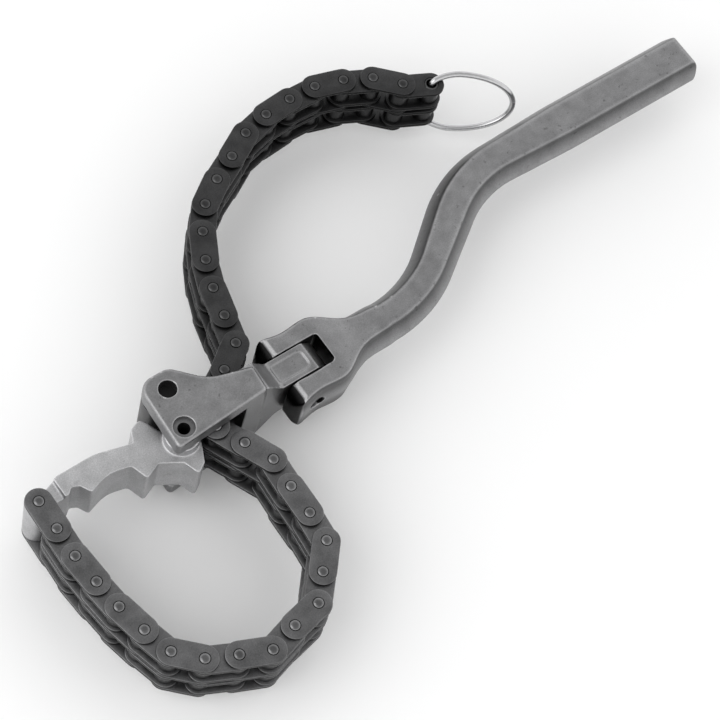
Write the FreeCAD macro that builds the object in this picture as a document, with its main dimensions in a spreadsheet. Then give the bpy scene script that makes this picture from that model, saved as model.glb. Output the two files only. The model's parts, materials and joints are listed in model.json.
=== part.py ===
import FreeCAD, Part
import math
import os
from FreeCAD import Placement, Rotation, Vector

# Heavy duty oil filter wrench: a duplex roller chain is anchored on a toothed jaw, wraps the filter and
# runs through the throat of a forged head. A cranked handle swings on the head's tongue.
# Frame: +X along the grip, +Z up, origin under the middle of the whole tool. Sizes are millimetres.
# Plan shapes are drawn from the jaw pivot, so jaw_pivot_x and jaw_pivot_y place the tool in the frame.

SIZES = [
    ("jaw_pivot_x", -84.23, "jaw pivot from the middle of the tool, along the grip"),
    ("jaw_pivot_y", -5.07, "jaw pivot from the middle of the tool, across the grip"),
    ("mid_height", 17.0, "height of the tool's plane of symmetry"),
    ("pitch", 9.525, "chain pitch, 06B"),
    ("strand_spacing", 10.24, "transverse pitch of the duplex chain"),
    ("strand_width", 8.53, "over the two inner plates of a strand"),
    ("inner_width", 5.72, "between the two inner plates of a strand"),
    ("plate_height", 8.2, "height of every chain plate"),
    ("outer_plate", 1.25, "thickness of an outer plate"),
    ("centre_plate", 1.3, "thickness of the plate between the strands"),
    ("plate_gap", 0.12, "side play between inner and outer plates"),
    ("chain_pin_radius", 1.64, "chain pin"),
    ("pin_stick_out", 0.55, "riveted pin end above its outer plate"),
    ("bush_bore_radius", 1.69, "running fit on the chain pin"),
    ("bush_radius", 2.27, "outside of a bush"),
    ("roller_bore_radius", 2.33, "roller on its bush"),
    ("roller_radius", 3.175, "outside of a roller"),
    ("roller_play", 0.06, "end play of a roller, each side"),
    ("head_height", 34.0, "over both ears of the head"),
    ("ear_thickness", 5.5, "one ear of the head"),
    ("ear_edge_radius", 1.2, "rounding of the ears' outer edges"),
    ("tongue_thickness", 17.0, "height of the tongue in the fork"),
    ("tongue_width", 9.4, "width of the tongue between the fork's ears"),
    ("panel_width", 6.0, "sunk panel on the tongue, above and below"),
    ("panel_depth", 0.55, "depth of the sunk panel"),
    ("axis_y", 2.4, "middle of tongue, fork and neck, from the jaw pivot"),
    ("fork_pin_x", 43.1, "hinge pin of the fork, from the jaw pivot"),
    ("fork_pin_radius", 2.5, "hinge pin of the fork"),
    ("fork_pin_length", 20.0, "recessed in both ears of the fork"),
    ("fork_bore_radius", 2.55, "running fit in the tongue"),
    ("fork_width", 23.4, "over the fork's ears"),
    ("fork_height", 17.0, "height of the fork's ears"),
    ("fork_nose_radius", 6.0, "rounding of the fork's front, above and below"),
    ("slot_width", 10.0, "between the fork's ears"),
    ("slot_end_x", 52.8, "floor of the fork's slot"),
    ("jaw_height", 16.0, "height of the jaw"),
    ("jaw_boss_radius", 5.2, "jaw boss round its pivot"),
    ("fork_ear_radius", 2.2, "inner front corners of the fork's ears"),
    ("lug_height", 13.0, "jaw beyond the step beside the chain eye"),
    ("lug_step_x", -37.6, "step of the jaw's lug, from the jaw pivot"),
    ("notch_line_height", 0.9, "groove along the parting line in the jaw's notch"),
    ("jaw_boss_height", 22.6, "jaw boss between the head's ears"),
    ("jaw_pin_radius", 3.2, "hollow pivot pin of the jaw"),
    ("jaw_pin_bore_radius", 1.9, "hole in the hollow pin"),
    ("jaw_bore_radius", 3.25, "running fit on the hollow pin"),
    ("jaw_pin_length", 31.0, "hollow pin, recessed in the ears"),
    ("guide_pin_length", 27.0, "guide pin, deep in the ears"),
    ("guide_x", 2.6, "guide pin from the jaw pivot"),
    ("guide_y", 12.3, "guide pin from the jaw pivot"),
    ("guide_pin_radius", 2.7, "guide pin"),
    ("guide_bore_radius", 2.75, "running fit of the guide roller"),
    ("guide_roller_radius", 7.0, "guide roller"),
    ("eye_x", -45.3, "chain eye of the jaw, from the jaw pivot"),
    ("eye_y", 4.5, "chain eye of the jaw, from the jaw pivot"),
    ("eye_radius", 4.1, "boss round the chain eye"),
    ("eye_height", 18.8, "boss round the chain eye, between outer plates"),
    ("bar_height", 13.0, "height of the handle bar"),
    ("bar_draft", 29.0, "slope of the bar's sides from vertical, degrees"),
    ("bar_edge_radius", 2.2, "rounding between the bar's flats and its sides"),
    ("parting_radius", 0.7, "rounding of the parting line"),
    ("grip_rim_radius", 3.0, "rounding of the grip's end"),
    ("neck_width", 14.2, "bar at the neck, on its parting line"),
    ("crank_width", 15.4, "bar along the crank"),
    ("grip_width", 17.2, "bar along the grip"),
    ("grip_y", 29.2, "middle of the grip, from the jaw pivot"),
    ("grip_end_x", 218.2, "end of the grip, from the jaw pivot"),
    ("crank_angle", 36.0, "slope of the crank across the table"),
    ("crank_x", 89.6, "corner where the crank leaves the neck's line"),
    ("crank_radius", 42.0, "bends of the crank"),
    ("wire_radius", 0.95, "wire of the pull ring"),
    ("ring_length", 28.9, "reach of the pull ring past its pivot"),
    ("ring_twist", 3.4, "how far the ring's arms lean aside"),
    ("ring_arm_length", 9.5, "where the ring's arms turn into its bow"),
    ("ring_hook_radius", 2.0, "bend of the ring's hooked ends"),
    ("ring_heading", -34.5, "direction of the pull ring, degrees"),
]

# Direction of each link from the jaw to the pull ring, in degrees from +X.
LOOP_HEADINGS = [-91, -91, -85, -83, -77, -74, -45, -26, -24, 15, 11, 47, 48, 85, 89, 87, 115]
THROAT_HEADINGS = [115, 66, 30]
TAIL_HEADINGS = [35, 76, 76, 69, 61, 51, 34, 27, 29, 14, 5, -1, -16, -25, -44, -25]
HEADINGS = LOOP_HEADINGS + THROAT_HEADINGS + TAIL_HEADINGS
OPEN_PIVOT = 13

UP = Vector(0, 0, 1)
doc = FreeCAD.newDocument("oil_filter_wrench")


def make_sheet():
    table = doc.addObject("Spreadsheet::Sheet", "Sizes")
    for row, (alias, value, meaning) in enumerate(SIZES, start=1):
        table.set(f"A{row}", alias)
        table.set(f"B{row}", str(value))
        table.set(f"C{row}", meaning)
        table.setAlias(f"B{row}", alias)
    doc.recompute()
    return table


sheet = make_sheet()


def size(alias):
    return float(sheet.get(alias))


def bind(part, **formulas):
    for key, formula in formulas.items():
        part.setExpression(key, formula)


def label(part, name, at=Vector(0, 0, 0), turn=Rotation()):
    part.Label = name
    part.Placement = Placement(at, turn)
    return part


def corner(before, here, after, radius):
    """The two points where a rounding of a corner starts and ends, and the middle of its arc."""
    back = (before - here).normalize()
    ahead = (after - here).normalize()
    half = back.getAngle(ahead) / 2
    reach = radius / math.tan(half)
    middle = here + (back + ahead).normalize() * (radius / math.sin(half) - radius)
    return here + back * reach, middle, here + ahead * reach


def sketch(name, points, side=False):
    """A closed outline of (x, y, corner radius), in plan or, with side, as (x, z) seen along +Y."""
    plan = doc.addObject("Sketcher::SketchObject", name)
    spots = [Vector(x, y, 0) for x, y, _ in points]
    count = len(points)
    ends = []
    for i, (_, _, radius) in enumerate(points):
        if radius:
            start, middle, stop = corner(spots[i - 1], spots[i], spots[(i + 1) % count], radius)
            plan.addGeometry(Part.Arc(start, middle, stop))
        else:
            start = stop = spots[i]
        ends.append((start, stop))
    for i in range(count):
        plan.addGeometry(Part.LineSegment(ends[i][1], ends[(i + 1) % count][0]))
    if side:
        plan.Placement = Placement(Vector(0, 0, 0), Rotation(Vector(1, 0, 0), 90))
    return plan


def extrusion(name, plan, direction=UP, draft=None, **formulas):
    """A symmetric extrusion both ways from the outline's plane, drafted when draft names a cell."""
    solid = doc.addObject("Part::Extrusion", name)
    solid.Base = plan
    solid.DirMode = "Custom"
    solid.Dir = direction
    solid.Solid = True
    if draft:
        bind(solid, TaperAngle=f"-Sizes.{draft}", TaperAngleRev=f"-Sizes.{draft}")
    bind(solid, **formulas)
    return solid


def both_ways(name, plan, height, direction=UP, draft=None):
    half = f"{height} / 2"
    return extrusion(name, plan, direction, draft, LengthFwd=half, LengthRev=half)


def cylinder(name, radius, height, x="0", y="0", across=False):
    """A cylinder centred on the plane of symmetry, or along Y when across."""
    rod = doc.addObject("Part::Cylinder", name)
    bind(rod, Radius=radius, Height=height)
    if across:
        rod.Placement = Placement(Vector(0, 0, 0), Rotation(Vector(1, 0, 0), 90))
        rod.setExpression("Placement.Base.x", x)
        rod.setExpression("Placement.Base.y", f"{y} + ({height}) / 2")
    else:
        rod.setExpression("Placement.Base.x", x)
        rod.setExpression("Placement.Base.y", y)
        rod.setExpression("Placement.Base.z", f"-({height}) / 2")
    return rod


def cut(name, base, *tools):
    for number, tool in enumerate(tools):
        last = number == len(tools) - 1
        result = doc.addObject("Part::Cut", name if last else f"{name}_step{number}")
        result.Base = base
        result.Tool = tool
        result.Refine = True
        base = result
    return base


def fuse(name, *shapes):
    result = doc.addObject("Part::MultiFuse", name)
    result.Shapes = list(shapes)
    result.Refine = True
    return result


def common(name, *shapes):
    result = doc.addObject("Part::MultiCommon", name)
    result.Shapes = list(shapes)
    return result


def edges_at(part, axis, level):
    """Numbers of the edges that lie wholly in a plane across an axis."""
    doc.recompute()
    found = []
    for number, edge in enumerate(part.Shape.Edges, start=1):
        box = edge.BoundBox
        low = getattr(box, f"{axis}Min")
        high = getattr(box, f"{axis}Max")
        if abs(low - level) < 0.01 and abs(high - level) < 0.01:
            found.append(number)
    return found


def rounded(name, base, edges, radius):
    result = doc.addObject("Part::Fillet", name)
    result.Base = base
    result.Edges = [(number, radius, radius) for number in edges]
    return result


def group(name, *shapes):
    result = doc.addObject("Part::Compound", name)
    result.Links = list(shapes)
    return result


def lifted(name, shape, height):
    """A copy of a shape raised by a formula."""
    copy = group(name, shape)
    copy.setExpression("Placement.Base.z", height)
    return copy


# Places in the frame

PIVOT = Vector(size("jaw_pivot_x"), size("jaw_pivot_y"), size("mid_height"))
GUIDE = PIVOT + Vector(size("guide_x"), size("guide_y"), 0)
FORK_PIN = PIVOT + Vector(size("fork_pin_x"), size("axis_y"), 0)


def chain_pins():
    """Every pin of the chain from the jaw's eye to the pull ring."""
    spots = [PIVOT + Vector(size("eye_x"), size("eye_y"), 0)]
    for heading in HEADINGS:
        step = Vector(math.cos(math.radians(heading)), math.sin(math.radians(heading)), 0)
        spots.append(spots[-1] + step * size("pitch"))
    return spots


CHAIN_PINS = chain_pins()


# Chain

OUTER_FACE = "(Sizes.strand_spacing + Sizes.strand_width + 2 * Sizes.plate_gap)"


def plate(name, thickness, bore):
    """A straight-sided chain plate from the pin at the origin to the pin one pitch along +X."""
    radius = size("plate_height") / 2
    pitch = size("pitch")
    plan = doc.addObject("Sketcher::SketchObject", f"{name}_outline")
    plan.addGeometry(Part.LineSegment(Vector(0, -radius, 0), Vector(pitch, -radius, 0)))
    far_end = [Vector(pitch, -radius, 0), Vector(pitch + radius, 0, 0), Vector(pitch, radius, 0)]
    near_end = [Vector(0, radius, 0), Vector(-radius, 0, 0), Vector(0, -radius, 0)]
    plan.addGeometry(Part.Arc(*far_end))
    plan.addGeometry(Part.LineSegment(Vector(pitch, radius, 0), Vector(0, radius, 0)))
    plan.addGeometry(Part.Arc(*near_end))
    blank = both_ways(f"{name}_blank", plan, thickness)
    near = cylinder(f"{name}_near_hole", bore, f"2 * {thickness}")
    far = cylinder(f"{name}_far_hole", bore, f"2 * {thickness}", "Sizes.pitch")
    return cut(name, blank, near, far)


def pin_link(name, centre=True, open_end=False):
    """Outer plates, the plate between the strands and two pins; an open end keeps only rivets."""
    outer = plate(f"{name}_plate", "Sizes.outer_plate", "Sizes.chain_pin_radius")
    level = f"{OUTER_FACE} / 2 + Sizes.outer_plate / 2"
    pieces = [lifted(f"{name}_top", outer, level), lifted(f"{name}_bottom", outer, f"-({level})")]
    if centre:
        pieces.append(plate(f"{name}_centre", "Sizes.centre_plate", "Sizes.chain_pin_radius"))
    length = f"({OUTER_FACE} + 2 * Sizes.outer_plate + 2 * Sizes.pin_stick_out)"
    pieces.append(cylinder(f"{name}_near_pin", "Sizes.chain_pin_radius", length))
    if open_end:
        stub = "(Sizes.outer_plate + Sizes.pin_stick_out)"
        rivet = cylinder(f"{name}_rivet", "Sizes.chain_pin_radius", stub, "Sizes.pitch")
        reach = f"{OUTER_FACE} / 2 + {stub} / 2"
        pieces.append(lifted(f"{name}_top_rivet", rivet, reach))
        pieces.append(lifted(f"{name}_bottom_rivet", rivet, f"-({reach})"))
    else:
        pieces.append(cylinder(f"{name}_far_pin", "Sizes.chain_pin_radius", length, "Sizes.pitch"))
    return group(name, *pieces)


def roller_link(name):
    """Two strands, each a pair of inner plates on bushes with a loose roller on each bush."""
    side = "(Sizes.strand_width - Sizes.inner_width) / 2"
    inner = plate(f"{name}_plate", side, "Sizes.bush_bore_radius")
    level = "(Sizes.strand_width + Sizes.inner_width) / 4"
    plates = [lifted(f"{name}_over", inner, level), lifted(f"{name}_under", inner, f"-({level})")]
    bushes = []
    rollers = []
    for place, x in (("near", "0"), ("far", "Sizes.pitch")):
        bore = cylinder(f"{name}_{place}_bore", "Sizes.bush_bore_radius", "2 * Sizes.strand_width", x)
        bush = cylinder(f"{name}_{place}_bush", "Sizes.bush_radius", "Sizes.strand_width", x)
        width = "(Sizes.inner_width - 2 * Sizes.roller_play)"
        ring = cylinder(f"{name}_{place}_ring", "Sizes.roller_radius", width, x)
        hole = cylinder(f"{name}_{place}_hole", "Sizes.roller_bore_radius", f"2 * {width}", x)
        bushes.append(cut(f"{name}_{place}_tube", bush, bore))
        rollers.append(cut(f"{name}_{place}_roller", ring, hole))
    strand = fuse(f"{name}_frame", *plates, *bushes)
    pieces = group(f"{name}_strand", strand, *rollers)
    offset = "Sizes.strand_spacing / 2"
    return group(
        name,
        lifted(f"{name}_high", pieces, offset),
        lifted(f"{name}_low", pieces, f"-({offset})"),
    )


def build_chain():
    kinds = {
        "pin": pin_link("pin_link"),
        "anchor": pin_link("anchor_link", centre=False),
        "open": pin_link("open_link", open_end=True),
        "roller": roller_link("roller_link"),
    }
    links = []
    for number, heading in enumerate(HEADINGS, start=1):
        kind = "roller" if number % 2 == 0 else "pin"
        if number == 1:
            kind = "anchor"
        if number == OPEN_PIVOT:
            kind = "open"
        link = group(f"chain_link_{number:02d}", kinds[kind])
        links.append(label(link, link.Name, CHAIN_PINS[number - 1], Rotation(UP, heading)))
    return links


# Head

EARS = [
    (-5.2, -5.0, 1.5), (27.2, -2.7, 1.0), (27.8, 5.6, 1.2), (14.6, 9.3, 14.0),
    (6.4, 18.2, 5.0), (-4.2, 18.2, 5.0),
]
WEB = [(20.2, -3.2, 0), (27.2, -2.7, 0), (27.8, 5.6, 0), (20.6, 3.4, 0)]


def tongue_profile():
    """Side view of the tongue: it drops from the ears and ends in a blunt nose about the hinge pin."""
    half = size("tongue_thickness") / 2
    x = size("fork_pin_x")
    top = [
        (24.0, 15.6, 0), (28.0, 15.6, 1.5), (34.0, half, 2.5),
        (x + 3.9, half, 1.0), (x + 8.0, 4.9, 1.6),
    ]
    bottom = [(across, -up, rounding) for across, up, rounding in reversed(top)]
    return top + bottom


def tongue_panels():
    """Tools for the sunk panels on the tongue's flats."""
    y = size("axis_y")
    half = size("panel_width") / 2
    start = 34.6
    end = size("fork_pin_x") + 2.6
    plan = [(start, y - half, 0.8), (end, y - half, 1.6), (end, y + half, 1.6), (start, y + half, 0.8)]
    tool = both_ways("panel_tool", sketch("panel_outline", plan), "2 * Sizes.panel_depth")
    level = "Sizes.tongue_thickness / 2"
    return [lifted("panel_over", tool, level), lifted("panel_under", tool, f"-{level}")]


def build_ears():
    ears = both_ways("ears", sketch("ear_outline", EARS), "Sizes.head_height")
    level = size("head_height") / 2
    rims = edges_at(ears, "Z", level) + edges_at(ears, "Z", -level)
    soft_ears = rounded("soft_ears", ears, rims, size("ear_edge_radius"))
    gap = "(Sizes.head_height - 2 * Sizes.ear_thickness)"
    throat_plan = [(-9, -9, 0), (40, -9, 0), (40, 22, 0), (-9, 22, 0)]
    throat = both_ways("throat", sketch("throat_outline", throat_plan), gap)
    return cut("open_ears", soft_ears, throat)


def build_head_forging():
    web_height = "(Sizes.head_height - 2 * Sizes.ear_thickness + 2)"
    web = both_ways("web", sketch("web_outline", WEB), web_height)
    profile = sketch("tongue_outline", tongue_profile(), side=True)
    tongue = both_ways("tongue", profile, "Sizes.tongue_width", Vector(0, 1, 0))
    tongue.setExpression("Placement.Base.y", "Sizes.axis_y")
    blank = fuse("head_blank", build_ears(), web, cut("panelled_tongue", tongue, *tongue_panels()))
    through = "2 * Sizes.head_height"
    jaw_hole = cylinder("jaw_pin_hole", "Sizes.jaw_pin_radius", through)
    guide_hole = cylinder(
        "guide_pin_hole", "Sizes.guide_pin_radius", through, "Sizes.guide_x", "Sizes.guide_y",
    )
    bore = cylinder(
        "tongue_bore", "Sizes.fork_bore_radius", "2 * Sizes.fork_width",
        "Sizes.fork_pin_x", "Sizes.axis_y", across=True,
    )
    return cut("head_forging", blank, jaw_hole, guide_hole, bore)


def build_head():
    pin = cylinder("jaw_pin_blank", "Sizes.jaw_pin_radius", "Sizes.jaw_pin_length")
    bore = cylinder("jaw_pin_bore", "Sizes.jaw_pin_bore_radius", "2 * Sizes.head_height")
    hollow = cut("jaw_pivot_pin", pin, bore)
    guide_blank = cylinder("guide_pin_blank", "Sizes.guide_pin_radius", "Sizes.guide_pin_length")
    guide = group("guide_pin", guide_blank)
    sleeve = cylinder("guide_sleeve", "Sizes.guide_roller_radius", "Sizes.jaw_boss_height")
    sleeve_bore = cylinder("guide_sleeve_bore", "Sizes.guide_bore_radius", "2 * Sizes.jaw_boss_height")
    roller = cut("guide_roller", sleeve, sleeve_bore)
    return [
        label(build_head_forging(), "head_forging", PIVOT),
        label(hollow, "jaw_pivot_pin", PIVOT),
        label(guide, "guide_pin", GUIDE),
        label(roller, "guide_roller", GUIDE),
    ]


# Jaw

JAW = [
    (-46.3, 8.5, 0), (-40.8, 7.9, 3.0), (-36.5, 9.3, 5.0), (-24.0, 9.5, 20.0), (-12.3, 6.4, 0.8),
    (-10.8, 10.2, 2.0), (-6.6, 11.8, 1.8), (-3.6, 5.0, 2.0), (4.4, 2.0, 0), (4.6, -3.6, 2.0),
    (1.8, -9.4, 1.5), (-1.6, -11.6, 1.0), (-3.4, -6.5, 0.8), (-9.7, -2.8, 0.8), (-14.9, -5.0, 0.9),
    (-16.8, 0.6, 1.5), (-23.5, 2.2, 12.0), (-30.6, -0.1, 0.8), (-32.4, 3.2, 0.5), (-34.6, 4.1, 0.5),
    (-36.2, 2.7, 0.5), (-40.2, 2.8, 2.0), (-44.6, 0.6, 0),
]


def lug_relief():
    """Tools that thin the jaw beyond its step, above and below."""
    x = size("lug_step_x")
    plan = [(x - 20, -10, 0), (x, -10, 0), (x, 20, 0), (x - 20, 20, 0)]
    depth = "(Sizes.jaw_height - Sizes.lug_height)"
    tool = both_ways("relief_tool", sketch("relief_outline", plan), depth)
    level = "Sizes.jaw_height / 2"
    return [lifted("relief_over", tool, level), lifted("relief_under", tool, f"-{level}")]


def build_jaw():
    arm = both_ways("jaw_arm", sketch("jaw_outline", JAW), "Sizes.jaw_height")
    eye = cylinder("jaw_eye", "Sizes.eye_radius", "Sizes.eye_height", "Sizes.eye_x", "Sizes.eye_y")
    boss = cylinder("jaw_boss", "Sizes.jaw_boss_radius", "Sizes.jaw_boss_height")
    blank = fuse("jaw_blank", cut("stepped_arm", arm, *lug_relief()), boss, eye)
    through = "2 * Sizes.head_height"
    bore = cylinder("jaw_bore", "Sizes.jaw_bore_radius", through)
    eye_bore = cylinder("jaw_eye_bore", "Sizes.bush_bore_radius", through, "Sizes.eye_x", "Sizes.eye_y")
    notch_line = cylinder("notch_line", "4", "Sizes.notch_line_height", "-8.4", "-7.8")
    return [label(cut("jaw", blank, bore, eye_bore, notch_line), "jaw", PIVOT)]


# Handle

# Stations of the fork and neck: x, half width at the parting line, half width of the flat, half height
FORK_STATIONS = [
    (32.0, 11.7, 11.2, 8.5), (41.0, 11.7, 11.2, 8.5), (50.0, 11.7, 11.2, 8.5), (54.5, 11.4, 10.7, 8.4),
    (58.5, 9.8, 8.4, 7.9), (62.5, 8.2, 5.9, 7.2), (67.0, 7.5, 4.4, 6.7),
]


def bar_section(name, spot, heading, width, flat, height, edge, parting):
    """A six-sided section, square to the bar's centreline; width, flat and height are halves."""
    points = [
        (flat, height, edge), (-flat, height, edge), (-width, 0, parting),
        (-flat, -height, edge), (flat, -height, edge), (width, 0, parting),
    ]
    section = sketch(name, points)
    across = Vector(-math.sin(math.radians(heading)), math.cos(math.radians(heading)), 0)
    section.Placement = Placement(Vector(*spot, 0), Rotation(across, UP, across.cross(UP), "ZXY"))
    return section


def plain_section(name, spot, heading, width):
    half = size("bar_height") / 2
    slant = half * math.tan(math.radians(size("bar_draft")))
    edges = (size("bar_edge_radius"), size("parting_radius"))
    return bar_section(name, spot, heading, width, width - slant, half, *edges)


def run_between(name, *sections, ruled=True):
    run = doc.addObject("Part::Loft", name)
    run.Sections = list(sections)
    run.Solid = True
    run.Ruled = ruled
    run.MaxDegree = 3
    return run


def bend(name, section, centre):
    """The bar's section swept round a centre by the angle of the crank."""
    turn = doc.addObject("Part::Revolution", name)
    turn.Source = section
    turn.Base = Vector(*centre, 0)
    turn.Axis = UP
    turn.Solid = True
    turn.setExpression("Angle", "Sizes.crank_angle")
    return turn


def bar_runs():
    """The handle's outside, from the fork's front along the neck, two bends and the grip."""
    low = size("axis_y")
    high = size("grip_y")
    angle = size("crank_angle")
    slope = math.radians(angle)
    radius = size("crank_radius")
    tangent = radius * math.tan(slope / 2)
    first_x = size("crank_x") - tangent
    last_x = size("crank_x") + (high - low) / math.tan(slope) + tangent
    crank_start = (first_x + radius * math.sin(slope), low + radius * (1 - math.cos(slope)))
    crank_end = (last_x - radius * math.sin(slope), high - radius * (1 - math.cos(slope)))
    neck, crank, grip = (size(f"{name}_width") / 2 for name in ("neck", "crank", "grip"))
    neck_end = plain_section("neck_end", (first_x, low), 0, neck)
    fork_sections = []
    for number, (x, width, flat, height) in enumerate(FORK_STATIONS):
        name = f"fork_section_{number}"
        fork_sections.append(bar_section(name, (x, low), 0, width, flat, height, 1.2, 2.5))
    grip_start = plain_section("grip_start", (last_x, high), 0, crank)
    grip_full = plain_section("grip_full", (last_x + 25, high), 0, grip)
    grip_end = plain_section("grip_end", (size("grip_end_x"), high), 0, grip)
    return [
        run_between("neck_run", *fork_sections, neck_end, ruled=False),
        bend("first_bend", neck_end, (first_x, low + radius)),
        run_between(
            "crank_run",
            plain_section("crank_start", crank_start, angle, neck),
            plain_section("crank_end", crank_end, angle, crank),
        ),
        bend("second_bend", grip_start, (last_x, high - radius)),
        run_between("grip_taper", grip_start, grip_full),
        run_between("grip_run", grip_full, grip_end),
    ]


def fork_front():
    return size("fork_pin_x") - size("fork_height") / 2


def handle_limits():
    """A block that rounds the fork's front and the grip's end, in plan and from the side."""
    fork_y = size("axis_y")
    front = fork_front()
    wide = size("fork_width") / 2 + 0.5
    end = size("grip_end_x")
    rim = size("grip_rim_radius")
    grip_y = size("grip_y")
    grip = size("grip_width") / 2 + 0.05
    fork_end = 60.0
    grip_start = end - 20.0
    plan = [
        (front, fork_y - wide, 4.0), (fork_end, fork_y - wide, 0),
        (fork_end, -60, 0), (grip_start, -60, 0),
        (grip_start, grip_y - grip, 0), (end, grip_y - grip, rim), (end, grip_y + grip, rim),
        (grip_start, grip_y + grip, 0), (grip_start, 80, 0),
        (fork_end, 80, 0), (fork_end, fork_y + wide, 0),
        (front, fork_y + wide, 4.0),
    ]
    high = size("fork_height") / 2 + 0.2
    low = size("bar_height") / 2 + 0.05
    nose = size("fork_nose_radius")
    profile = [
        (front, high, nose), (front, -high, nose), (grip_start, -high, 0), (grip_start, -low, 0),
        (end, -low, rim), (end, low, rim), (grip_start, low, 0), (grip_start, high, 0),
    ]
    plan_block = both_ways("plan_block", sketch("handle_plan", plan), "Sizes.head_height")
    side_sketch = sketch("handle_side", profile, side=True)
    side_block = both_ways("side_block", side_sketch, "200", Vector(0, 1, 0))
    return common("handle_limits", plan_block, side_block)


def fork_slot_plan():
    """The slot between the fork's ears, wider in front of them so that their inner corners are round."""
    half = size("slot_width") / 2
    wide = size("fork_width") / 2 + 1
    front = fork_front() - 0.02
    floor_x = size("slot_end_x")
    mouth = size("fork_ear_radius")
    near = [(front - 15, -wide, 0), (front, -wide, 0), (front, -half, mouth), (floor_x, -half, 0.8)]
    far = [(x, -y, rounding) for x, y, rounding in reversed(near)]
    return [(x, y + size("axis_y"), rounding) for x, y, rounding in near + far]


def build_handle():
    outside = common("handle_outside", fuse("bar", *bar_runs()), handle_limits())
    slot = both_ways("fork_slot", sketch("fork_slot_outline", fork_slot_plan()), "Sizes.head_height")
    bore = cylinder(
        "fork_bore", "Sizes.fork_pin_radius", "2 * Sizes.fork_width",
        "Sizes.fork_pin_x", "Sizes.axis_y", across=True,
    )
    handle = cut("handle_forging", outside, slot, bore)
    pin = cylinder("hinge_pin_blank", "Sizes.fork_pin_radius", "Sizes.fork_pin_length", across=True)
    return [
        label(handle, "handle_forging", PIVOT),
        label(group("hinge_pin", pin), "hinge_pin", FORK_PIN),
    ]


# Pull ring

def ring_path():
    """Centre line of the bail: hook, leaning arm, half an ellipse, and the same again upside down."""
    level = (size("strand_spacing") + size("strand_width")) / 2 + size("wire_radius") + 0.25
    reach = size("ring_length") - size("wire_radius")
    bow_start = size("ring_arm_length")
    turn = size("ring_hook_radius")
    arm_end = Vector(bow_start, size("ring_twist"), level)
    lean = math.atan2(arm_end.y, arm_end.x) * 1.6
    aside = Vector(math.cos(lean), math.sin(lean), 0)
    hook_tip = UP * (level - 3.4)
    hook_start = UP * (level - turn)
    hook_end = UP * level + aside * turn
    middle = hook_start + aside * (turn * (1 - math.sqrt(0.5))) + UP * (turn * math.sqrt(0.5))
    pull = Vector(2.6, 0, 0)

    def half(sign):
        """One side of the bail; the other is the same turned half round the x axis."""
        def placed(point):
            return Vector(point.x, sign * point.y, sign * point.z)
        arm = Part.BezierCurve()
        arm.setPoles([placed(p) for p in (hook_end, hook_end + aside * 2.4, arm_end - pull, arm_end)])
        bend_of_hook = Part.Arc(placed(hook_start), placed(middle), placed(hook_end))
        return [Part.LineSegment(placed(hook_tip), placed(hook_start)), bend_of_hook, arm]

    centre = Vector(bow_start, 0, 0)
    bow = Part.Ellipse(Vector(reach, 0, 0), arm_end, centre)
    edges = [curve.toShape() for curve in half(1) + half(-1)]
    edges.append(bow.toShape(-math.pi / 2, math.pi / 2))
    return Part.Wire(Part.__sortEdges__(edges)), hook_tip


def build_ring():
    """A bail of round wire whose ends hook into the last bushes of the chain from above and below."""
    path, hook_tip = ring_path()
    spine = doc.addObject("Part::Feature", "ring_spine")
    spine.Shape = path
    section = doc.addObject("Part::Circle", "ring_section")
    section.setExpression("Radius", "Sizes.wire_radius")
    section.Placement = Placement(hook_tip, Rotation(UP, 0))
    wire = doc.addObject("Part::Sweep", "pull_ring")
    wire.Sections = [section]
    wire.Spine = (spine, [f"Edge{number}" for number in range(1, len(path.Edges) + 1)])
    wire.Solid = True
    wire.Frenet = False
    return [label(wire, "pull_ring", CHAIN_PINS[-1], Rotation(UP, size("ring_heading")))]


def export(nodes):
    doc.recompute()
    for item in doc.Objects:
        if "Invalid" in item.State or "Error" in item.State:
            raise RuntimeError(f"{item.Label}: {item.State}")
    os.makedirs("parts", exist_ok=True)
    for node in nodes:
        if node.Shape.isNull() or not node.Shape.isValid():
            raise RuntimeError(f"{node.Label} has no valid shape")
        node.Shape.exportStep(f"parts/{node.Label}.step")


export(build_head() + build_jaw() + build_handle() + build_chain() + build_ring())
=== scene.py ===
import json
import math

import bmesh
import bpy
from mathutils import Matrix, Vector


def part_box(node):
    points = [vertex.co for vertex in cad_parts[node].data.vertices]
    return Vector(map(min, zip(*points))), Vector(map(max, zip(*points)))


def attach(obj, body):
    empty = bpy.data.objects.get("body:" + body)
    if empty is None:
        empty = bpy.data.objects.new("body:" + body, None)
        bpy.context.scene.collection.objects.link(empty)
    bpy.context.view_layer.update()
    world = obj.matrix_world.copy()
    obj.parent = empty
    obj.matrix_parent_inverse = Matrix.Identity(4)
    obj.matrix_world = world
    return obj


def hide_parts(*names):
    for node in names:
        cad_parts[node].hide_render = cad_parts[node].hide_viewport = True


# Oil filter wrench: the looks of the forged head, jaw and handle, the duplex chain and its pull ring.
# Lengths are metres, except voxel_mm, a crown's depths, a bump's relief and the camera's lens and sensor.

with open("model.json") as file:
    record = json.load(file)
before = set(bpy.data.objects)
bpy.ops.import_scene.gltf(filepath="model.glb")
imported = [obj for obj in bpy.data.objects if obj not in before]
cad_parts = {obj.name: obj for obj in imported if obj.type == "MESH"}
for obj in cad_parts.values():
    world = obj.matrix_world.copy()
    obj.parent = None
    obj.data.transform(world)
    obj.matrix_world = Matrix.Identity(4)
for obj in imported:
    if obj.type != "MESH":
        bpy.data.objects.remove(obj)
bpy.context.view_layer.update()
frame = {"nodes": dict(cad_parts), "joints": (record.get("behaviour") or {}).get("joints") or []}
scene = bpy.context.scene

MM = 0.001
TURN = 2 * math.pi
ROUND_STEPS = 32
SHARP_ANGLE = math.radians(38)
MIDDLE = 17 * MM

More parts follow.
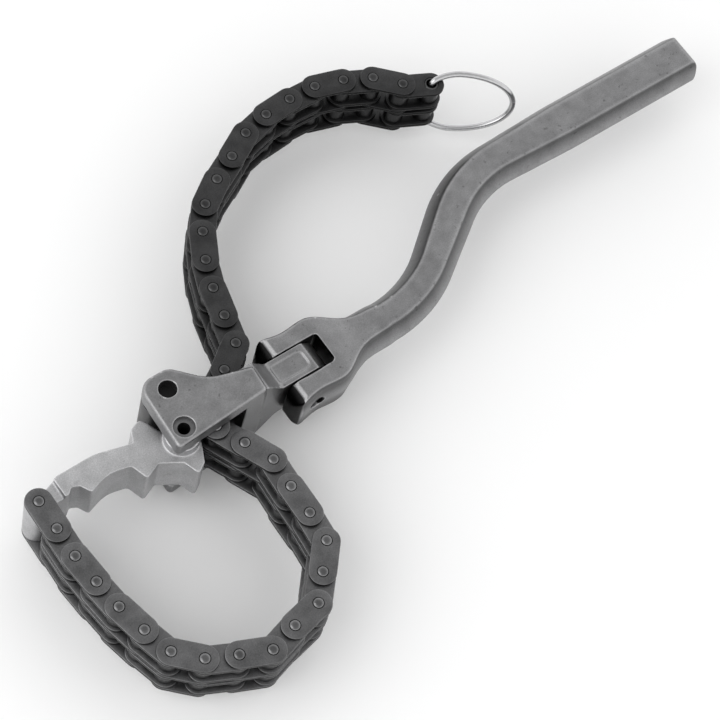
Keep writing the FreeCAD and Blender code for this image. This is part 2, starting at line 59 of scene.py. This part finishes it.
# Chain, as its CAD nodes have it, but with pins 0.04 mm thinner in radius, wider holes and softened edges
PITCH = 9.525 * MM
STRAND_SPACING = 10.24 * MM
STRAND_WIDTH = 8.53 * MM
INNER_WIDTH = 5.72 * MM
PLATE_RADIUS = 4.1 * MM
OUTER_PLATE = 1.25 * MM
CENTRE_PLATE = 1.3 * MM
PLATE_GAP = 0.12 * MM
PIN_RADIUS = 1.6 * MM
PIN_STICK_OUT = 0.55 * MM
PIN_WELL_RADIUS = 1.74 * MM
CENTRE_HOLE_RADIUS = PIN_RADIUS * 1.02
BUSH_BORE_RADIUS = 1.69 * MM
BUSH_RADIUS = 2.27 * MM
BUSH_HOLE_RADIUS = BUSH_RADIUS * 1.01
ROLLER_BORE_RADIUS = 2.33 * MM
ROLLER_RADIUS = 3.175 * MM
ROLLER_WIDTH = 5.6 * MM
PLATE_EDGE = 0.28 * MM
SLEEVE_EDGE = 0.2 * MM
LINK_COUNT = 36
FIRST_TAIL_LINK = 20
OPEN_LINK = 13

# Upset end of a chain pin: shares of its radius, and depths below its crown in millimetres
CROWN = [(1.0, 0.62), (0.94, 0.36), (0.78, 0.17), (0.5, 0.05), (0.22, 0.0), (0, 0.03)]

# Places of the three steels in a link's list of materials
PLATE_SLOT, PIN_SLOT, ROLLER_SLOT = range(3)

# Surface of every steel: how fine each noise is, and the band over which it shows
PATCH_SCALE = 190.0
GRAIN_SCALE = 2600.0
DENT_SCALE = 620.0
PIT_BAND = (0.66, 0.74)
WORN_BAND = (0.512, 0.57)
COOL_TINT = 1.015
BUMP_STRENGTH = 0.6
GRAIN_HEIGHT = 0.6

# Painted shade and painted highlights on the chain's plates and on the handle, as factors on the clean
# metal
RIM_PAINTED_SHADE = 0.2
RIM_PAINTED_HIGHLIGHT = 3.0
FORK_FRONT_PAINTED_SHADE = 0.05
FORK_LIP_PAINTED_HIGHLIGHT = 1.7
FLANK_SHADE = 0.62
FORK_END = -28 * MM
NECK_START = -24 * MM

# Stage
FLOOR_HALF_WIDTH = 3.0
FLOOR_GREY = 0.93
FLOOR_ROUGHNESS = 0.9
TENT_STRENGTH_LOW = 1.3
TENT_STRENGTH_HIGH = 0.7
TENT_BAND = (0.5, 0.85)
CAMERA_LENS = 120.0
SENSOR_WIDTH = 36.0
CAMERA_PLACE = (-0.2903, -0.2071, 0.6509)
CAMERA_DEGREES = (26.35, -9.07, -35.96)


# Materials

def wire_up(tree, kind, **inputs):
    """A node with its inputs set by name: another node's output is linked, anything else is a value."""
    node = tree.nodes.new(kind)
    for name, value in inputs.items():
        socket = node.inputs[name.replace("_", " ")]
        if isinstance(value, bpy.types.NodeSocket):
            tree.links.new(value, socket)
        else:
            socket.default_value = value
    return node


def noise(tree, place, scale, detail, roughness=0.55):
    values = {"Scale": scale, "Detail": detail, "Roughness": roughness}
    return wire_up(tree, "ShaderNodeTexNoise", Vector=place, **values).outputs["Fac"]


def ramp(tree, value, low, high, out_low, out_high):
    """A value between low and high, taken to between out_low and out_high."""
    limits = {"From Min": low, "From Max": high, "To Min": out_low, "To Max": out_high}
    return wire_up(tree, "ShaderNodeMapRange", Value=value, **limits).outputs["Result"]


def math_node(tree, operation, first, second):
    node = tree.nodes.new("ShaderNodeMath")
    node.operation = operation
    for socket, value in zip(node.inputs, (first, second)):
        if isinstance(value, bpy.types.NodeSocket):
            tree.links.new(value, socket)
        else:
            socket.default_value = value
    return node.outputs["Value"]


def steel(name, grey, roughness, mottle=0.1, speckle=0.12, pits=0.0, wear=0.4, relief=0.03, scale=None):
    """A procedural steel: broad mottling, fine grain, scattered pits and brighter worn edges.

    A scale function multiplies in painted shade and painted highlights: it returns a socket that is 1
    where nothing is painted.
    """
    material = bpy.data.materials.new(name)
    material.use_nodes = True
    tree = material.node_tree
    shader = tree.nodes["Principled BSDF"]
    shader.inputs["Metallic"].default_value = 1.0
    place = tree.nodes.new("ShaderNodeTexCoord").outputs["Object"]
    patches = noise(tree, place, PATCH_SCALE, detail=4.0)
    grain = noise(tree, place, GRAIN_SCALE, detail=3.0, roughness=0.7)
    dents = noise(tree, place, DENT_SCALE, detail=2.0)
    tone = ramp(tree, patches, 0.3, 0.7, grey * (1 - mottle), grey * (1 + mottle))
    flecks = ramp(tree, grain, 0.3, 0.7, 1 - speckle, 1 + speckle)
    tone = math_node(tree, "MULTIPLY", tone, flecks)
    edges = tree.nodes.new("ShaderNodeNewGeometry").outputs["Pointiness"]
    worn = ramp(tree, edges, *WORN_BAND, 1.0, 1.0 + wear)
    tone = math_node(tree, "MULTIPLY", tone, worn)
    # painted shade and painted highlights, where a scale function is given
    if scale:
        tone = math_node(tree, "MULTIPLY", tone, scale(tree))
    height = math_node(tree, "MULTIPLY", grain, GRAIN_HEIGHT)
    if pits:
        holes = ramp(tree, dents, *PIT_BAND, 0.0, 1.0)
        tone = math_node(tree, "MULTIPLY", tone, ramp(tree, holes, 0.0, 1.0, 1.0, 1.0 - pits))
        height = math_node(tree, "SUBTRACT", height, holes)
    blue = math_node(tree, "MULTIPLY", tone, COOL_TINT)
    colour = wire_up(tree, "ShaderNodeCombineColor", Red=tone, Green=tone, Blue=blue)
    tree.links.new(colour.outputs["Color"], shader.inputs["Base Color"])
    gloss = ramp(tree, patches, 0.25, 0.75, roughness - 0.06, roughness + 0.08)
    tree.links.new(gloss, shader.inputs["Roughness"])
    bump = wire_up(tree, "ShaderNodeBump", Height=height, Strength=BUMP_STRENGTH, Distance=relief * MM)
    tree.links.new(bump.outputs["Normal"], shader.inputs["Normal"])
    return material


def axis_parts(tree, output):
    """X, Y and Z of a place or a normal in the piece's own coordinates."""
    vector = tree.nodes.new("ShaderNodeTexCoord").outputs[output]
    parts = wire_up(tree, "ShaderNodeSeparateXYZ", Vector=vector).outputs
    return parts["X"], parts["Y"], parts["Z"]


def absolute(tree, value):
    return math_node(tree, "ABSOLUTE", value, 0.0)


def chain_rim_painted_light(tree):
    """Painted shade on the plates' rims, with a thin painted highlight line where a rim meets its flat.
    """
    upright = absolute(tree, axis_parts(tree, "Normal")[2])
    rim = ramp(tree, upright, 0.25, 0.6, RIM_PAINTED_SHADE, RIM_PAINTED_HIGHLIGHT)
    flat = ramp(tree, upright, 0.8, 0.97, RIM_PAINTED_HIGHLIGHT, 1.0)
    return math_node(tree, "MINIMUM", rim, flat)


def handle_painted_shade_and_highlight(tree):
    """Painted shade on the fork's blunt fronts and slot floor and on the flanks just below the flats,
    with a painted highlight along the fork's lip.
    """
    along, _, height = axis_parts(tree, "Object")
    facing, _, upright = axis_parts(tree, "Normal")
    beyond_fork = ramp(tree, along, FORK_END, NECK_START, 0.0, 1.0)
    facing = math_node(tree, "ADD", facing, beyond_fork)
    # painted shade on the fork's fronts and slot floor, the faces turned towards the head
    blunt = ramp(tree, facing, -0.52, -0.42, FORK_FRONT_PAINTED_SHADE, 1.0)
    # painted highlight in a band along the fork's lip, just before the dark fronts
    off_lip = absolute(tree, math_node(tree, "ADD", facing, 0.3))
    lip = ramp(tree, off_lip, 0.0, 0.16, FORK_LIP_PAINTED_HIGHLIGHT, 1.0)
    # painted shade on the flanks just below the flats' edges
    flank = ramp(tree, absolute(tree, upright), 0.6, 0.8, 1.0, 0.0)
    rise = absolute(tree, math_node(tree, "SUBTRACT", height, MIDDLE))
    shade = math_node(tree, "MULTIPLY", flank, ramp(tree, rise, 1 * MM, 5 * MM, 0.0, FLANK_SHADE))
    front = math_node(tree, "MULTIPLY", blunt, lip)
    return math_node(tree, "MULTIPLY", front, math_node(tree, "SUBTRACT", 1.0, shade))


DROP_FORGED = {"mottle": 0.14, "speckle": 0.16, "pits": 0.35, "wear": 0.9}
# The plates' look: mottling, grain and wear, plus painted shade and a painted highlight line on their
# rims
PLATE_WEAR_AND_PAINTED_RIMS = {"mottle": 0.2, "speckle": 0.2, "wear": 0.3, "scale": chain_rim_painted_light}
FORGED = steel("forged_steel", 0.26, 0.38, **DROP_FORGED)
# The handle's steel, with painted shade on the fork's fronts and flanks and a painted highlight on the
# fork's lip
HANDLE_STEEL = steel("handle_steel", 0.26, 0.38, scale=handle_painted_shade_and_highlight, **DROP_FORGED)
JAW_STEEL = steel("jaw_steel", 0.48, 0.48, mottle=0.12, speckle=0.2, pits=0.15, wear=0.25)
PLATE_STEEL = steel("chain_plate_steel", 0.105, 0.38, **PLATE_WEAR_AND_PAINTED_RIMS)
DOME_STEEL = steel("chain_pin_steel", 0.12, 0.24, mottle=0.25, wear=0.9)
# Darker copies of the loop's plate and pin steels for the tail: painted shade
TAIL_PLATE_PAINTED_SHADE = steel("tail_plate_painted_shade", 0.042, 0.4, **PLATE_WEAR_AND_PAINTED_RIMS)
TAIL_DOME_PAINTED_SHADE = steel("tail_pin_painted_shade", 0.05, 0.3, mottle=0.25, wear=0.9)
# Nearly black rollers: painted shade deep between the plates
ROLLER_PAINTED_SHADE_STEEL = steel("roller_painted_shade_steel", 0.02, 0.34, mottle=0.25, wear=0.8)
PIN_STEEL = steel("pin_steel", 0.1, 0.4, mottle=0.15, wear=0.7)
# Nearly black guide pin: painted shade of its deep recess in the ears
GUIDE_PIN_PAINTED_SHADE = steel("guide_pin_painted_shade", 0.02, 0.5, mottle=0.15, wear=0.2)
DARK_STEEL = steel("dark_steel", 0.05, 0.4, mottle=0.2, wear=0.5)
WIRE_STEEL = steel("bright_wire", 0.5, 0.24, mottle=0.06, speckle=0.05, wear=0.1, relief=0.008)


# Meshes

def connect(mesh, lower, upper, material):
    """Faces between two closed rings of vertices, either of which may be a single point."""
    count = max(len(lower), len(upper))
    for i in range(count):
        j = (i + 1) % count
        if len(lower) == 1:
            corners = (lower[0], upper[j], upper[i])
        elif len(upper) == 1:
            corners = (lower[i], lower[j], upper[0])
        else:
            corners = (lower[i], lower[j], upper[j], upper[i])
        mesh.faces.new(corners).material_index = material


def ring(mesh, x, radius, height):
    if radius == 0:
        return [mesh.verts.new((x, 0, height))]
    angles = [TURN * i / ROUND_STEPS for i in range(ROUND_STEPS)]
    return [mesh.verts.new((x + radius * math.cos(a), radius * math.sin(a), height)) for a in angles]


def turned(mesh, x, profile, material, closed=False):
    """A turned shape about a vertical line at x, from (radius, height) points in order."""
    rings = [ring(mesh, x, radius, height) for radius, height in profile]
    for lower, upper in zip(rings, rings[1:]):
        connect(mesh, lower, upper, material)
    if closed:
        connect(mesh, rings[-1], rings[0], material)


def stadium(mesh, radius, height):
    """A closed ring of vertices round both pin centres of a link."""
    half = ROUND_STEPS // 2
    spots = []
    for x, start in ((PITCH, -math.pi / 2), (0.0, math.pi / 2)):
        for i in range(half + 1):
            a = start + math.pi * i / half
            spots.append((x + radius * math.cos(a), radius * math.sin(a), height))
    return [mesh.verts.new(spot) for spot in spots]


def cap(mesh, outline, holes):
    """A flat face with round holes between rings at one height."""
    edges = []
    for loop in [outline] + holes:
        for a, b in zip(loop, loop[1:] + loop[:1]):
            edge = mesh.edges.get((a, b)) or mesh.edges.new((a, b))
            edges.append(edge)
    filled = bmesh.ops.triangle_fill(mesh, edges=edges, use_beauty=True)
    for item in filled["geom"]:
        if isinstance(item, bmesh.types.BMFace):
            item.material_index = PLATE_SLOT


def plate(mesh, middle, thickness, hole):
    """A link plate with softened rims and a round hole at each end."""
    low = middle - thickness / 2
    high = middle + thickness / 2
    soft = PLATE_EDGE
    rim = [
        (soft, low), (0.3 * soft, low + 0.3 * soft), (0, low + soft),
        (0, high - soft), (0.3 * soft, high - 0.3 * soft), (soft, high),
    ]
    loops = [stadium(mesh, PLATE_RADIUS - inset, height) for inset, height in rim]
    for lower, upper in zip(loops, loops[1:]):
        connect(mesh, lower, upper, PLATE_SLOT)
    bottom = [ring(mesh, x, hole, low) for x in (0, PITCH)]
    top = [ring(mesh, x, hole, high) for x in (0, PITCH)]
    for lower, upper in zip(bottom, top):
        connect(mesh, upper, lower, PLATE_SLOT)
    cap(mesh, loops[0], bottom)
    cap(mesh, loops[-1], top)


OUTER_FACE = (STRAND_SPACING + STRAND_WIDTH) / 2 + PLATE_GAP
PIN_END = OUTER_FACE + OUTER_PLATE + PIN_STICK_OUT


def dome(sign):
    """Upset end of a chain pin, from its shank to its crown."""
    return [(PIN_RADIUS * share, sign * (PIN_END - drop * MM)) for share, drop in CROWN]


def pin(mesh, x):
    turned(mesh, x, dome(-1)[::-1] + dome(1), PIN_SLOT)


def rivet(mesh, x, sign):
    """The end of a pin in its outer plate, with no shank below."""
    profile = [(0, sign * OUTER_FACE), (PIN_RADIUS, sign * OUTER_FACE)] + dome(sign)
    turned(mesh, x, profile if sign > 0 else profile[::-1], PIN_SLOT)


def pin_link(mesh, centre=True, open_end=False):
    """An outer link, with or without the plate between the strands and its second pin's shank."""
    for sign in (-1, 1):
        plate(mesh, sign * (OUTER_FACE + OUTER_PLATE / 2), OUTER_PLATE, PIN_WELL_RADIUS)
    if centre:
        plate(mesh, 0, CENTRE_PLATE, CENTRE_HOLE_RADIUS)
    pin(mesh, 0)
    if open_end:
        rivet(mesh, PITCH, 1)
        rivet(mesh, PITCH, -1)
    else:
        pin(mesh, PITCH)


def sleeve(mesh, x, middle, bore, radius, width, material):
    """A round tube with softened outer rims."""
    soft = SLEEVE_EDGE
    half = width / 2
    profile = [
        (bore, middle - half), (radius - soft, middle - half), (radius, middle - half + soft),
        (radius, middle + half - soft), (radius - soft, middle + half), (bore, middle + half),
    ]
    turned(mesh, x, profile, material, closed=True)


def roller_link(mesh):
    """An inner link: four plates, four bushes and four rollers."""
    side = (STRAND_WIDTH - INNER_WIDTH) / 2
    level = (STRAND_WIDTH + INNER_WIDTH) / 4
    for strand in (-STRAND_SPACING / 2, STRAND_SPACING / 2):
        for sign in (-1, 1):
            plate(mesh, strand + sign * level, side, BUSH_HOLE_RADIUS)
        for x in (0, PITCH):
            sleeve(mesh, x, strand, BUSH_BORE_RADIUS, BUSH_RADIUS, STRAND_WIDTH, PIN_SLOT)
            sleeve(mesh, x, strand, ROLLER_BORE_RADIUS, ROLLER_RADIUS, ROLLER_WIDTH, ROLLER_SLOT)


def finished_mesh(name, build, materials, **options):
    """A smooth shaded mesh from one of the builders above."""
    work = bmesh.new()
    build(work, **options)
    bmesh.ops.recalc_face_normals(work, faces=work.faces)
    data = bpy.data.meshes.new(name)
    work.to_mesh(data)
    work.free()
    data.shade_smooth()
    data.set_sharp_from_angle(angle=SHARP_ANGLE)
    for material in materials:
        data.materials.append(material)
    return data


def add_object(name, data, body, replaced):
    piece = bpy.data.objects.new(name, data)
    scene.collection.objects.link(piece)
    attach(piece, body)
    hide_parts(replaced)
    return piece


# Chain

def chain_pins():
    """Places of the chain's pins, from its joints, and by symmetry where the loop is opened."""
    spots = {}
    for joint in frame["joints"]:
        name = joint["name"]
        if name.startswith("chain_pin_"):
            spots[int(name[-2:])] = Vector(joint["pos_m"])
        elif name == "jaw_eye":
            spots[0] = Vector(joint["pos_m"])
        elif name == "pull_ring_swing":
            spots[LINK_COUNT] = Vector(joint["pos_m"])
    low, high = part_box(f"chain_link_{OPEN_LINK:02d}")
    middle = (low + high) / 2
    spots[OPEN_LINK] = 2 * middle - spots[OPEN_LINK - 1]
    return spots


def build_chain():
    # the rollers' near-black steel is painted shade
    loop = [PLATE_STEEL, DOME_STEEL, ROLLER_PAINTED_SHADE_STEEL]
    tail = [TAIL_PLATE_PAINTED_SHADE, TAIL_DOME_PAINTED_SHADE, ROLLER_PAINTED_SHADE_STEEL]
    spots = chain_pins()
    for number in range(1, LINK_COUNT + 1):
        start = spots[number - 1]
        along = spots[number] - start
        turn = Matrix.Rotation(math.atan2(along.y, along.x), 4, "Z")
        # the tail's links take the darker copies of the steels: painted shade
        materials = tail if number >= FIRST_TAIL_LINK else loop
        name = f"link_{number:02d}_visual"
        if number % 2 == 0:
            data = finished_mesh(name, roller_link, materials)
        else:
            ends = {"centre": number > 1, "open_end": number == OPEN_LINK}
            data = finished_mesh(name, pin_link, materials, **ends)
        data.transform(Matrix.Translation(start) @ turn)
        add_object(name, data, f"link_{number:02d}", f"chain_link_{number:02d}")


# Forgings

def forging(node, body, material, voxel_mm, passes):
    """A forged piece: the CAD solid as a fine even mesh with its edges worn round."""
    data = frame["nodes"][node].data.copy()
    data.name = f"{node}_visual"
    data.materials.clear()
    data.materials.append(material)
    piece = add_object(f"{node}_visual", data, body, node)
    grid = piece.modifiers.new("Even mesh", "REMESH")
    grid.mode = "VOXEL"
    grid.voxel_size = voxel_mm * MM
    grid.use_smooth_shade = True
    soften = piece.modifiers.new("Worn edges", "SMOOTH")
    soften.factor = 0.5
    soften.iterations = passes


build_chain()
forging("head_forging", "head", FORGED, voxel_mm=0.28, passes=8)
forging("jaw", "jaw", JAW_STEEL, voxel_mm=0.26, passes=5)
forging("handle_forging", "handle", HANDLE_STEEL, voxel_mm=0.38, passes=7)

CARRIED = {
    "jaw_pivot_pin": PIN_STEEL,
    # the guide pin's near-black steel is painted shade
    "guide_pin": GUIDE_PIN_PAINTED_SHADE,
    "hinge_pin": PIN_STEEL,
    "guide_roller": DARK_STEEL,
    "pull_ring": WIRE_STEEL,
}
for node, material in CARRIED.items():
    data = frame["nodes"][node].data
    data.materials.clear()
    data.materials.append(material)


# Stage

def build_floor():
    data = bpy.data.meshes.new("floor")
    side = FLOOR_HALF_WIDTH
    corners = [(-side, -side, 0), (side, -side, 0), (side, side, 0), (-side, side, 0)]
    data.from_pydata(corners, [], [(0, 1, 2, 3)])
    floor = bpy.data.objects.new("floor", data)
    scene.collection.objects.link(floor)
    material = bpy.data.materials.new("pale_floor")
    material.use_nodes = True
    shader = material.node_tree.nodes["Principled BSDF"]
    shader.inputs["Base Color"].default_value = (FLOOR_GREY, FLOOR_GREY, FLOOR_GREY, 1)
    shader.inputs["Roughness"].default_value = FLOOR_ROUGHNESS
    data.materials.append(material)


def area_light(name, place, target, power, side):
    data = bpy.data.lights.new(name, "AREA")
    data.shape = "SQUARE"
    data.size = side
    data.energy = power
    lamp = bpy.data.objects.new(name, data)
    lamp.location = place
    lamp.rotation_euler = (Vector(target) - Vector(place)).to_track_quat("-Z", "Y").to_euler()
    scene.collection.objects.link(lamp)


def build_lights():
    """A white tent, dimmer overhead so that level faces read darker than their edges, and a softbox."""
    world = bpy.data.worlds.new("studio")
    world.use_nodes = True
    tree = world.node_tree
    place = tree.nodes.new("ShaderNodeTexCoord").outputs["Generated"]
    height = wire_up(tree, "ShaderNodeSeparateXYZ", Vector=place).outputs["Z"]
    background = tree.nodes["Background"]
    background.inputs["Color"].default_value = (1, 1, 1, 1)
    strength = ramp(tree, height, *TENT_BAND, TENT_STRENGTH_LOW, TENT_STRENGTH_HIGH)
    tree.links.new(strength, background.inputs["Strength"])
    scene.world = world
    area_light("side_softbox", (-0.75, 0.15, 0.8), target=(0, 0, 0), power=3.0, side=0.8)


def build_camera():
    data = bpy.data.cameras.new("camera")
    data.lens = CAMERA_LENS
    data.sensor_width = SENSOR_WIDTH
    camera = bpy.data.objects.new("camera", data)
    camera.location = CAMERA_PLACE
    camera.rotation_euler = [math.radians(angle) for angle in CAMERA_DEGREES]
    scene.collection.objects.link(camera)
    scene.camera = camera


build_floor()
build_lights()
build_camera()
scene.view_settings.view_transform = "Standard"
